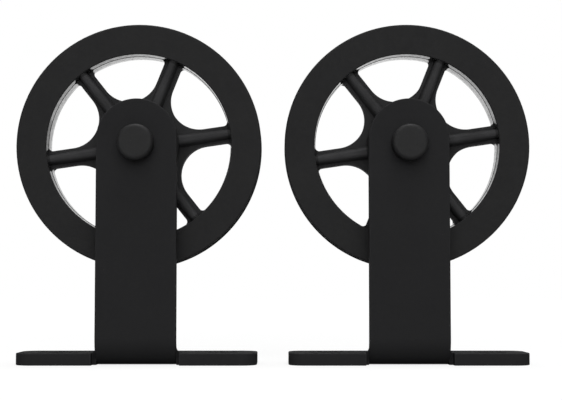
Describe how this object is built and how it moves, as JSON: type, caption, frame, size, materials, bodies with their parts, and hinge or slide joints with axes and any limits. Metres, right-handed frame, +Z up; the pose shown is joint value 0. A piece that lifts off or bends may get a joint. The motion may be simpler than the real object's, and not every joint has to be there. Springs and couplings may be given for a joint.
{
  "type": "sliding barn door hanger pair",
  "caption": "Top-mount barn door hangers: a flat strap bent into a slotted T-shaped base, and a big grooved spoked wheel turning on the strap's round-headed axle bolt.",
  "frame": {"origin": "on the underside of the bases, midway between the two hangers, in the middle plane of the wheel grooves", "axes": "+Z up, +X along the rail, -Y towards the face of the straps and the bolt heads"},
  "size_m": [0.2598, 0.052, 0.172],
  "materials": {
    "powder_coated_steel": "matte black powder coat on flat bar",
    "powder_coated_iron": "matte black powder coat on a casting",
    "coated_bolt_steel": "satin black coated fastener steel",
    "bearing_steel": "ground bearing steel",
    "shield_steel": "pressed sheet steel",
    "nylon_cage": "moulded nylon",
    "nylon_insert": "moulded nylon"
  },
  "bodies": {
    "hangers": {"left_hanger_strap": "powder_coated_steel", "left_axle_bolt": "coated_bolt_steel", "left_front_spacer": "coated_bolt_steel", "left_rear_spacer": "coated_bolt_steel", "left_rear_washer": "coated_bolt_steel", "left_lock_nut": "coated_bolt_steel", "left_nut_insert": "nylon_insert", "left_bearing_inner_race": "bearing_steel", "right_hanger_strap": "powder_coated_steel", "right_axle_bolt": "coated_bolt_steel", "right_front_spacer": "coated_bolt_steel", "right_rear_spacer": "coated_bolt_steel", "right_rear_washer": "coated_bolt_steel", "right_lock_nut": "coated_bolt_steel", "right_nut_insert": "nylon_insert", "right_bearing_inner_race": "bearing_steel"},
    "left_wheel_body": {"left_wheel": "powder_coated_iron", "left_bearing_outer_race": "bearing_steel", "left_bearing_front_shield": "shield_steel", "left_bearing_rear_shield": "shield_steel"},
    "left_cage_body": {"left_bearing_balls": "bearing_steel", "left_bearing_cage": "nylon_cage"},
    "right_wheel_body": {"right_wheel": "powder_coated_iron", "right_bearing_outer_race": "bearing_steel", "right_bearing_front_shield": "shield_steel", "right_bearing_rear_shield": "shield_steel"},
    "right_cage_body": {"right_bearing_balls": "bearing_steel", "right_bearing_cage": "nylon_cage"}
  },
  "joints": [
    {"name": "left_wheel_spin", "type": "hinge", "parent": "hangers", "child": "left_wheel_body", "pos_m": [-0.06785, 0, 0.11], "axis": [0, 1, 0], "continuous": true},
    {"name": "left_cage_spin", "type": "hinge", "parent": "hangers", "child": "left_cage_body", "pos_m": [-0.06785, 0, 0.11], "axis": [0, 1, 0], "continuous": true},
    {"name": "right_wheel_spin", "type": "hinge", "parent": "hangers", "child": "right_wheel_body", "pos_m": [0.06785, 0, 0.11], "axis": [0, 1, 0], "continuous": true},
    {"name": "right_cage_spin", "type": "hinge", "parent": "hangers", "child": "right_cage_body", "pos_m": [0.06785, 0, 0.11], "axis": [0, 1, 0], "continuous": true}
  ],
  "couplings": [
    {"joint": "left_cage_spin", "follows": "left_wheel_spin", "ratio": 0.61905},
    {"joint": "right_cage_spin", "follows": "right_wheel_spin", "ratio": 0.61905}
  ]
}
